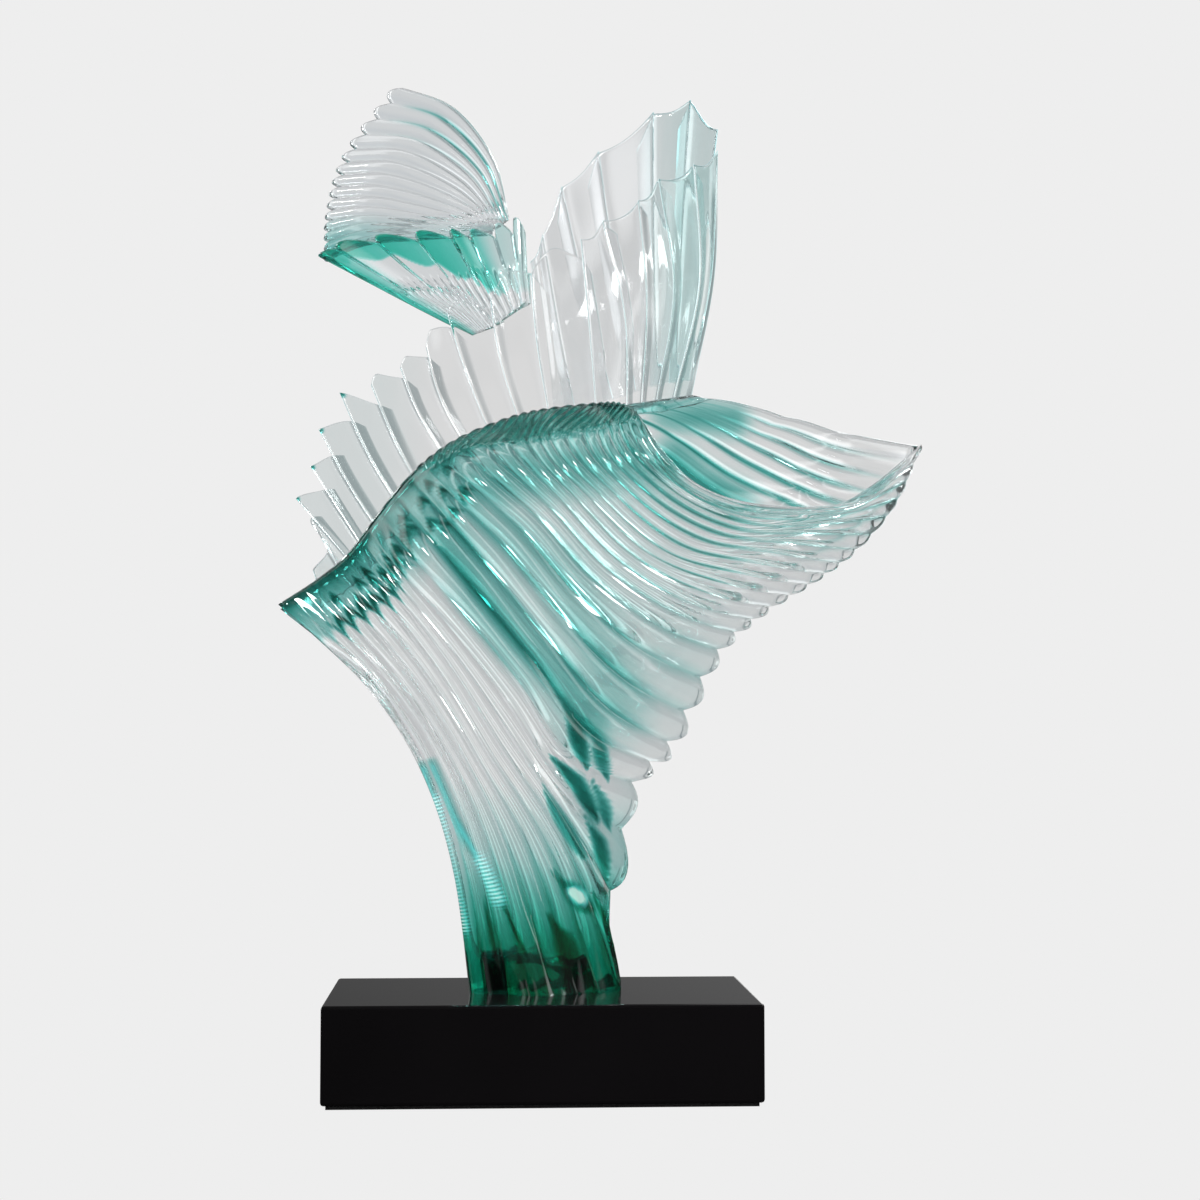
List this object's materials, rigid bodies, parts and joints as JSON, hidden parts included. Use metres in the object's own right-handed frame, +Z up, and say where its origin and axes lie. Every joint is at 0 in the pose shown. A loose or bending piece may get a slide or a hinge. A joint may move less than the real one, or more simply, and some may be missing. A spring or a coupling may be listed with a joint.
{
  "type": "abstract resin sculpture",
  "caption": "Tall abstract sculpture of clear and sea-green resin feather fans, bonded together on a black rectangular plinth.",
  "frame": {"origin": "centre of the underside of the felt pad, where the plinth rests on a shelf or table", "axes": "+Z up, +X to the right of someone facing the show side, -Y out of the show side towards them"},
  "size_m": [0.4061, 0.1589, 0.6473],
  "materials": {
    "clear_resin": "polished clear cast resin",
    "green_resin": "polished cast resin, clear with sea-green tint",
    "deep_green_resin": "polished cast resin, deep sea green",
    "black_lacquer": "high-gloss black lacquer over a wooden block",
    "felt": "black felt, adhesive backed",
    "steel": "zinc-plated screws and washers",
    "brass": "plain brass inserts"
  },
  "bodies": {
    "root": {"plinth_block": "black_lacquer", "felt_pad": "felt", "fixing_screw_left": "steel", "fixing_screw_right": "steel", "washer_left": "steel", "washer_right": "steel", "insert_left": "brass", "insert_right": "brass", "foot_core": "deep_green_resin", "wing_front": "green_resin", "wing_back": "green_resin", "fan_lower": "clear_resin", "fan_upper": "clear_resin", "crest_plate_01": "clear_resin", "crest_plate_02": "clear_resin", "crest_plate_03": "clear_resin", "crest_plate_04": "clear_resin", "crest_plate_05": "clear_resin", "crest_plate_06": "clear_resin", "crest_plate_07": "clear_resin", "crest_plate_08": "clear_resin", "crest_plate_09": "clear_resin", "crest_plate_10": "clear_resin", "crest_plate_11": "clear_resin", "crest_plate_12": "clear_resin", "crest_plate_13": "clear_resin", "crest_plate_14": "clear_resin", "crest_plate_15": "clear_resin", "crest_plate_16": "clear_resin", "crest_plate_17": "clear_resin", "petal_plate_01": "clear_resin", "petal_plate_02": "clear_resin", "petal_plate_03": "clear_resin", "petal_plate_04": "clear_resin", "petal_plate_05": "clear_resin", "petal_plate_06": "clear_resin"}
  },
  "joints": []
}
